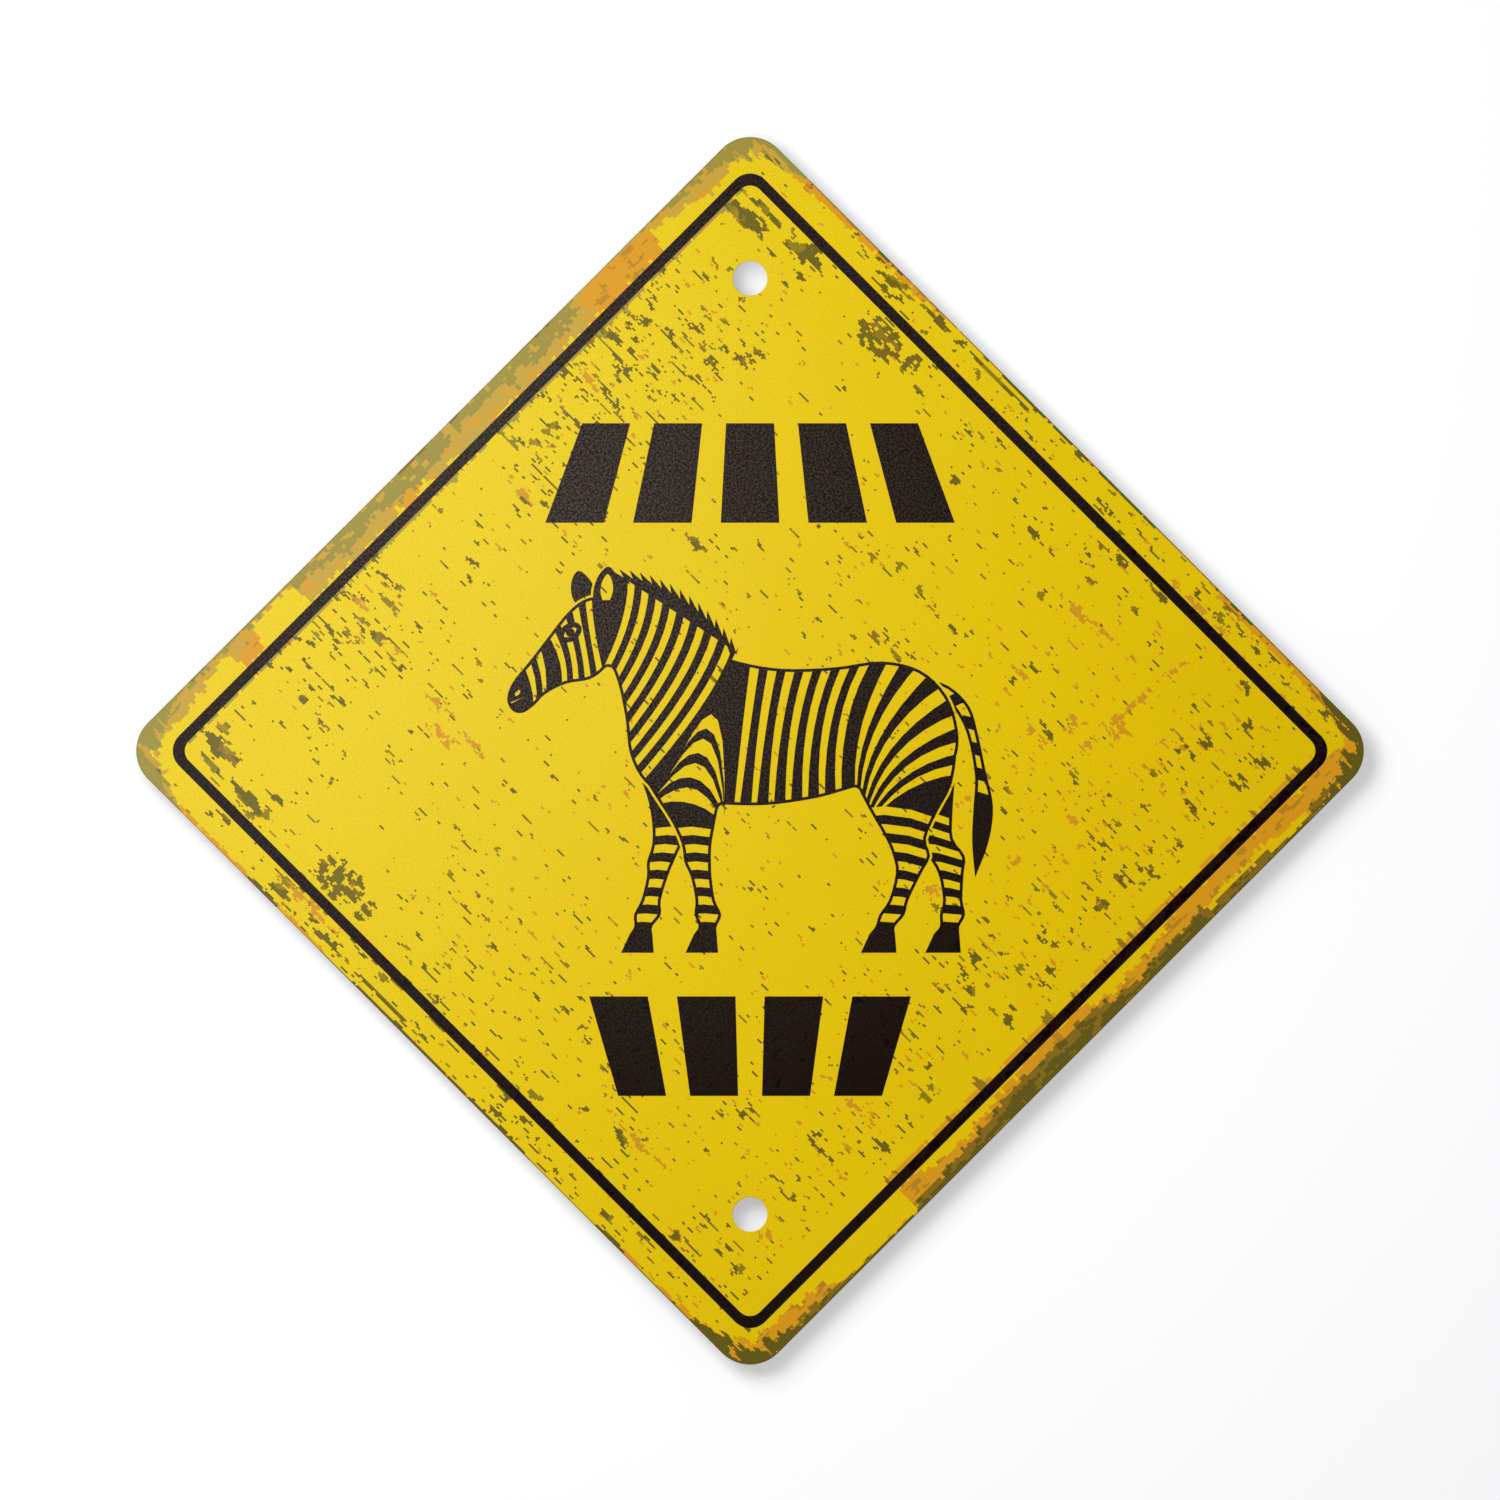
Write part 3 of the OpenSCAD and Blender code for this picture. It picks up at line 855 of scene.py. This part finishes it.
@dataclass(frozen=True)
class SheetFinish:
    """Yellow coat, worn from its sides inwards, over bare brushed aluminium.

    Painted light makes the coat lighter towards the upper left, and painted shade makes it darker
    towards the top, by so much a metre.
    Painted shade darkens its rim, and a painted sheen of pale grain lies on its upper left.
    """

    sides: tuple[SideWear, ...] = (UPPER_LEFT, LOWER_RIGHT, UPPER_RIGHT, LOWER_LEFT)
    corners: CornerWear = CornerWear()
    hem: BorderHem = BorderHem()
    flecks: Flecks = Flecks()
    metal: BareMetal = BareMetal()
    # Painted sheen: pale grain on the coat's upper left, standing in for light glinting off it
    painted_sheen: PaintedSheen = PaintedSheen(
        0.073, (0.95, 0.92, 0.86), Scuff(-0.34, 0.12, 0.508, 0.508), 2.0, Grain(0.62, 0.62, 7.0, 1.0)
    )
    tint: Grain = Grain(55.0, 55.0, 5.0)
    tint_sway: float = 0.06
    powder: Grain = Grain(0.52, 0.52, 9.0, 1.0)
    powder_sway: float = 0.13
    # Painted sheen: extra grain where the coat is painted lighter
    painted_sheen_powder_sway: float = 0.24
    # Painted light: the next two numbers mix in the lighter yellow towards the left and the top; the
    # third scales the coat darker towards the top, as painted shade
    painted_light_left: float = 2.4
    painted_light_up: float = 1.4
    painted_shade_up: float = 0.118
    # Painted shade: a dark olive line along the coat's rim, darker on the lower right half
    rim_w: float = 0.45
    painted_rim_shade: float = 0.2
    painted_lower_rim_shade: float = 0.35
    bare_behind: float = -0.72
    gloss: float = 0.235
    gloss_sway: float = 0.10
    specular: float = 0.073
    bump: float = 0.4

    def coat(self, spot: Spot, powder: Wire) -> Wire:
        """Colours the coat before its wear, with painted light towards the upper left and painted shade
        towards the top.

        Args:
            spot: The point of the sheet.
            powder: Fine grain around 0.

        Returns:
            The coat's colour.
        """
        across, _, up = spot.graph.parts(spot.position)
        # Painted light: the lighter yellow mixed in towards the upper left
        painted_light = (0.5 - across * self.painted_light_left + up * self.painted_light_up).clamped()
        # Painted shade: the coat darker towards the top
        tone = 1.0 - up * self.painted_shade_up + self.tint.sway(spot.place) * self.tint_sway
        # Painted sheen: the grain grows stronger where the light is painted
        tone = tone + powder * (self.powder_sway + painted_light * self.painted_sheen_powder_sway)
        colour = spot.graph.mix(painted_light, Tone.YELLOW.value, Tone.FADED_YELLOW.value)
        return spot.graph.scaled(colour, tone)

    def wear(self, spot: Spot, colour: Wire, powder: Wire) -> Wire:
        """Wears the coat, then paints a shade along its rim and a sheen of pale grain on its upper
        left.

        Args:
            spot: The point of the sheet.
            colour: The coat before its wear.
            powder: Fine grain around 0.

        Returns:
            The worn coat's colour, with its painted shade and painted sheen.
        """
        for layer in (*self.sides, self.corners, self.hem, self.flecks):
            colour = layer.over(spot, colour)
        colour = spot.graph.scaled(colour, 1.0 + powder * self.powder_sway)
        _, _, t = spot.graph.parts(spot.place)
        # Painted shade along the rim, darker on the lower right half, over the coat with its painted
        # sheen
        dark = (spot.rim < self.rim_w) * (self.painted_rim_shade + self.painted_lower_rim_shade * (t < 0.0))
        return spot.graph.mix(dark, self.painted_sheen.over(spot, colour), Tone.OLIVE.value)

    def material(self) -> bpy.types.Material:
        """Builds the material.

        Returns:
            The coat on the face and its rolled rims, bare metal on the edges and the back.
        """
        material = bpy.data.materials.new("yellow_sheet")
        graph = Graph(material)
        spot = Spot(graph)
        grain = self.powder.on(spot.place)
        powder = grain - 0.5
        coat = self.wear(spot, self.coat(spot, powder), powder)
        metal, metal_gloss, metal_height = self.metal.look(spot)
        _, through, _ = graph.parts(spot.place)
        bare = through > self.bare_behind
        gloss = self.gloss + powder * self.gloss_sway
        height = grain * (1.0 - bare) + metal_height * bare
        graph.principled({
            "Base Color": graph.mix(bare, coat, metal),
            "Metallic": bare,
            "Roughness": gloss * (1.0 - bare) + metal_gloss * bare,
            "Specular IOR Level": self.specular,
            "Normal": graph.bump(height, self.bump),
        })
        return material


@dataclass(frozen=True)
class Blots:
    """Blots of another ink tone, where a noise is above a bound.

    More of them show in the line at the lower right, by an amount that is added there.
    """

    colour: Colour
    grain: Grain
    bound: float
    in_lower_line: float = 0.0
    cover: float = 1.0


@dataclass(frozen=True)
class InkFinish:
    """Black ink with a brown cast, mottled and worn in blocks, with a painted sheen of pale grain on
    its upper left.

    The line at the lower right is what lies below one t and past one s.
    """

    black: Colour = (0.0100, 0.0050, 0.0028)
    blots: tuple[Blots, ...] = (
        Blots((0.0100, 0.0078, 0.0078), Grain(6.0, 10.0, 37.0, 3.0, 0.7), 0.62, cover=0.7),
        Blots((0.0130, 0.0016, 0.0011), Grain(9.0, 3.6, 39.0, 2.0, 0.65), 0.64, 0.11),
        Blots((0.0030, 0.0009, 0.0007), Grain(6.0, 2.6, 29.0, 2.0, 0.7), 0.62, 0.09),
    )
    lower_line: tuple[float, float] = (-137.2, -62.0)
    powder: Grain = Grain(0.6, 0.6, 7.0)
    # Painted sheen: pale warm grain on the ink's upper left, standing in for light glinting off it
    painted_sheen: PaintedSheen = PaintedSheen(
        0.074, (0.78, 0.62, 0.56), Scuff(-0.07, 0.07, 0.21, 0.21), 1.0, Grain(0.76, 0.76, 7.0, 1.0)
    )
    sheen: Colour = (1.0, 0.87, 0.83)
    gloss: float = 0.24
    gloss_sway: float = 0.12
    specular: float = 0.0575
    bump: float = 0.45

    def material(self) -> bpy.types.Material:
        """Builds the material.

        Returns:
            The ink.
        """
        material = bpy.data.materials.new("black_ink")
        graph = Graph(material)
        spot = Spot(graph)
        below, past = self.lower_line
        in_line = (spot.t < below) * (spot.s > past)
        colour = self.black
        for blots in self.blots:
            noise = blots.grain.on(spot.block) + blots.in_lower_line * in_line
            colour = graph.mix((noise > blots.bound) * blots.cover, colour, blots.colour)
        powder = self.powder.on(spot.place)
        graph.principled({
            # Painted sheen: pale grain laid into the ink's colour towards the upper left
            "Base Color": self.painted_sheen.over(spot, graph.scaled(colour, 0.5 + powder)),
            "Roughness": self.gloss + (powder - 0.5) * self.gloss_sway,
            "Specular IOR Level": self.specular,
            "Specular Tint": (*self.sheen, 1.0),
            "Normal": graph.bump(powder, self.bump),
        })
        return material


def only(piece: bpy.types.Object) -> None:
    """Makes a piece the one that is selected and active.

    Args:
        piece: The piece.
    """
    bpy.ops.object.select_all(action="DESELECT")
    piece.select_set(True)
    bpy.context.view_layer.objects.active = piece


@dataclass
class Sheet:
    """The sheet: a square stood on its point, with rounded corners, two holes and rolled rims."""

    finish: SheetFinish
    side: float = 0.3048
    thickness: float = 0.001
    corner_r: float = 0.013583
    roll: float = 0.00025
    hole_r: float = 0.0059
    hole_heights: tuple[float, float] = (0.161526, -0.158526)
    corner_steps: int = 28
    hole_steps: int = 96
    roll_steps: int = 5
    smooth_angle: float = math.radians(40)
    flat_weight: int = 100
    touch: float = 1e-6

    def blank(self) -> bpy.types.Object:
        """Makes the square with its corners rounded.

        Returns:
            The piece, turned onto its point and lying between the two faces.
        """
        bpy.ops.object.select_all(action="DESELECT")
        bpy.ops.mesh.primitive_cube_add(
            size=1.0,
            location=(0.0, -self.thickness / 2, 0.0),
            rotation=(0.0, math.pi / 4, 0.0),
            scale=(self.side, self.thickness, self.side),
        )
        piece = bpy.context.active_object
        piece.name = "sheet"
        bpy.ops.object.transform_apply(location=True, rotation=True, scale=True)
        bpy.ops.object.mode_set(mode="EDIT")
        bpy.ops.mesh.select_all(action="DESELECT")
        mesh = bmesh.from_edit_mesh(piece.data)
        for edge in mesh.edges:
            low, high = (v.co for v in edge.verts)
            edge.select_set(abs(low.y - high.y) > self.thickness / 2)
        bmesh.update_edit_mesh(piece.data)
        bpy.ops.mesh.bevel(offset=self.corner_r, segments=self.corner_steps, affect="EDGES")
        bpy.ops.object.mode_set(mode="OBJECT")
        return piece

    def punch(self, piece: bpy.types.Object, height: float) -> None:
        """Cuts one fixing hole.

        Args:
            piece: The sheet.
            height: The hole's centre above the middle of the sheet.
        """
        bpy.ops.object.select_all(action="DESELECT")
        bpy.ops.mesh.primitive_cylinder_add(
            vertices=self.hole_steps,
            radius=self.hole_r,
            depth=4 * self.thickness,
            location=(0.0, -self.thickness / 2, height),
            rotation=(math.pi / 2, 0.0, 0.0),
        )
        punch = bpy.context.active_object
        only(piece)
        cut = piece.modifiers.new("hole", "BOOLEAN")
        cut.operation = "DIFFERENCE"
        cut.solver = "EXACT"
        cut.object = punch
        bpy.ops.object.modifier_apply(modifier=cut.name)
        bpy.data.objects.remove(punch)

    def roll_rims(self, piece: bpy.types.Object) -> None:
        """Rounds the printed face's outline and hole mouths, as the punch leaves them.

        Args:
            piece: The sheet.
        """
        only(piece)
        bpy.ops.object.mode_set(mode="EDIT")
        bpy.ops.mesh.select_all(action="DESELECT")
        mesh = bmesh.from_edit_mesh(piece.data)
        face_y = -self.thickness
        for edge in mesh.edges:
            in_face = all(abs(v.co.y - face_y) < self.touch for v in edge.verts)
            walled = any(abs(f.normal.y) < 0.5 for f in edge.link_faces)
            edge.select_set(in_face and walled)
        bmesh.update_edit_mesh(piece.data)
        bpy.ops.mesh.bevel(offset=self.roll, segments=self.roll_steps, affect="EDGES")
        bpy.ops.object.mode_set(mode="OBJECT")

    def smooth(self, piece: bpy.types.Object) -> None:
        """Smooths the rounded rims and keeps the two faces flat.

        Args:
            piece: The sheet.
        """
        only(piece)
        bpy.ops.object.shade_smooth_by_angle(angle=self.smooth_angle)
        even = piece.modifiers.new("even", "WEIGHTED_NORMAL")
        even.keep_sharp = True
        even.weight = self.flat_weight
        bpy.ops.object.modifier_apply(modifier=even.name)

    def build(self) -> bpy.types.Object:
        """Makes the sheet and gives it its finish.

        Returns:
            The finished piece.
        """
        piece = self.blank()
        for height in self.hole_heights:
            self.punch(piece, height)
        self.roll_rims(piece)
        self.smooth(piece)
        piece.data.materials.clear()
        piece.data.materials.append(self.finish.material())
        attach(piece, "root")
        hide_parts("panel")
        return piece


@dataclass
class Print:
    """What is printed in black: the border line, the animal and the crossing bars."""

    finish: InkFinish
    pieces: tuple[str, ...] = ("border_line", "animal_figure", "crossing_bars")

    def dress(self) -> list[bpy.types.Object]:
        """Gives the printed pieces their ink.

        Returns:
            The pieces.
        """
        ink = self.finish.material()
        printed = []
        for name in self.pieces:
            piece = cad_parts[name]
            piece.data.materials.clear()
            piece.data.materials.append(ink)
            printed.append(piece)
        return printed


@dataclass(frozen=True)
class Lamp:
    """Round soft lamp that faces the middle of the sign: its place, its diameter, its watts."""

    name: str
    place: Triple
    across: float
    watts: float

    def hang(self) -> None:
        """Adds the lamp to the scene."""
        data = bpy.data.lights.new(self.name, "AREA")
        data.shape = "DISK"
        data.size = self.across
        data.energy = self.watts
        lamp = bpy.data.objects.new(self.name, data)
        bpy.context.scene.collection.objects.link(lamp)
        lamp.location = self.place
        lamp.rotation_euler = (-Vector(self.place)).to_track_quat("-Z", "Y").to_euler()
        lamp.visible_camera = False


@dataclass
class Studio:
    """White wall close behind the sign, pale floor below it, and soft lamps up to the left.

    A lift is light added where the wall or the floor is seen, room is the strength of the even
    light on the sign, and behind is what a look past it meets from its back.
    """

    wall_gap: float = 0.0091
    wall_side: float = 3.0
    wall_lift: float = 0.42
    floor_drop: float = 0.32
    floor_side: float = 4.5
    floor_lift: float = 0.5
    paper: Colour = (0.625, 0.625, 0.625)
    room: float = 0.328
    behind: float = 0.04
    lamps: tuple[Lamp, ...] = (
        Lamp("soft_box", (-0.75, -1.50, 0.75), 1.2, 21.4),
        Lamp("side_light", (-0.16, -0.648, 0.091), 0.323, 1.282),
    )

    @staticmethod
    def seen(graph: Graph) -> Wire:
        """Finds whether the camera, a reflection or a pane looks at a surface.

        Args:
            graph: Where the nodes go.

        Returns:
            1 where one of them does, else 0.
        """
        path = graph.node("ShaderNodeLightPath", output="Is Camera Ray")
        outputs = path.socket.node.outputs
        glossy = Wire(graph, outputs["Is Glossy Ray"])
        through = Wire(graph, outputs["Is Transmission Ray"])
        first = 1.0 - Wire(graph, outputs["Diffuse Depth"]).least(1.0)
        return (path + (glossy + through) * first).clamped()

    def paper_material(self, name: str, lift: float, one_sided: bool) -> bpy.types.Material:
        """Builds the finish of the wall or the floor.

        Args:
            name: The material's name.
            lift: Light added where it is seen, so that its lit parts come out white.
            one_sided: Whether it is clear from behind, so that the sign's back can be seen.

        Returns:
            The material.
        """
        material = bpy.data.materials.new(name)
        graph = Graph(material)
        matt = graph.node("ShaderNodeBsdfDiffuse", inputs={"Color": (*self.paper, 1.0)})
        glow = graph.node("ShaderNodeEmission", inputs={"Color": WHITE, "Strength": lift})
        lit = graph.node("ShaderNodeAddShader", inputs={0: matt, 1: glow})
        shader = graph.node("ShaderNodeMixShader", inputs={0: self.seen(graph), 1: matt, 2: lit})
        if one_sided:
            back = graph.node("ShaderNodeNewGeometry", output="Backfacing")
            clear = graph.node("ShaderNodeBsdfTransparent")
            shader = graph.node("ShaderNodeMixShader", inputs={0: back, 1: shader, 2: clear})
        graph.result(shader)
        return material

    def wall(self) -> bpy.types.Object:
        """Stands the wall behind the sign, facing the camera.

        Returns:
            The wall.
        """
        bpy.ops.object.select_all(action="DESELECT")
        bpy.ops.mesh.primitive_plane_add(
            size=self.wall_side,
            location=(0.0, self.wall_gap, self.wall_side / 2 - self.floor_drop),
            rotation=(math.pi / 2, 0.0, 0.0),
        )
        wall = bpy.context.active_object
        wall.name = "wall"
        bpy.ops.object.transform_apply(location=True, rotation=True, scale=True)
        wall.data.materials.append(self.paper_material("wall_paper", self.wall_lift, True))
        wall.visible_diffuse = False
        wall.visible_glossy = False
        wall.visible_shadow = False
        return wall

    def floor(self) -> bpy.types.Object:
        """Lays the floor below the sign.

        Returns:
            The floor.
        """
        bpy.ops.object.select_all(action="DESELECT")
        bpy.ops.mesh.primitive_plane_add(
            size=self.floor_side, location=(0.0, 0.0, -self.floor_drop)
        )
        floor = bpy.context.active_object
        floor.name = "floor"
        bpy.ops.object.transform_apply(location=True, rotation=True, scale=True)
        floor.data.materials.append(self.paper_material("floor_paper", self.floor_lift, False))
        floor.visible_diffuse = False
        return floor

    def world(self) -> None:
        """Fills the room with even light, and shows white where the camera looks past it."""
        world = bpy.data.worlds.new("room")
        bpy.context.scene.world = world
        graph = Graph(world)
        _, ahead, _ = graph.parts(graph.node("ShaderNodeTexCoord", output="Generated"))
        camera = graph.node("ShaderNodeLightPath", output="Is Camera Ray")
        shown = camera.most((ahead > 0.0) * (1.0 - self.behind) + self.behind)
        seen = self.seen(graph)
        glossy = Wire(graph, camera.socket.node.outputs["Is Glossy Ray"])
        strength = shown * seen + self.room * (1.0 - seen) * (1.0 - glossy)
        shade = graph.node("ShaderNodeBackground", inputs={"Color": WHITE, "Strength": strength})
        graph.result(shade, "ShaderNodeOutputWorld")
        world.cycles.sampling_method = "NONE"

    def build(self) -> None:
        """Builds the wall, the floor, the lamps and the world."""
        self.wall()
        self.floor()
        for lamp in self.lamps:
            lamp.hang()
        self.world()


@dataclass
class View:
    """Camera square on to the printed face, framed as in the photograph."""

    span: float = 0.51296
    shift_x: float = -0.00001
    shift_z: float = 0.00027
    distance: float = 2.0

    def build(self) -> None:
        """Makes the camera and the scene's."""
        data = bpy.data.cameras.new("front")
        data.type = "ORTHO"
        data.ortho_scale = self.span
        camera = bpy.data.objects.new("front", data)
        bpy.context.scene.collection.objects.link(camera)
        camera.location = (self.shift_x, -self.distance, self.shift_z)
        camera.rotation_euler = (math.pi / 2, 0.0, 0.0)
        bpy.context.scene.camera = camera


def main() -> None:
    """Builds the sign's looks, its stage, its light and the camera."""
    logging.basicConfig(level=logging.INFO, format="%(message)s")
    sheet = Sheet(SheetFinish()).build()
    log.info("%s: %d faces", sheet.name, len(sheet.data.polygons))
    for piece in Print(InkFinish()).dress():
        log.info("%s: %d faces, inked", piece.name, len(piece.data.polygons))
    Studio().build()
    log.info("wall, floor, two lamps and the world")
    View().build()
    log.info("camera")
    bpy.context.scene.view_settings.view_transform = "Standard"


if __name__ == "__main__":
    main()
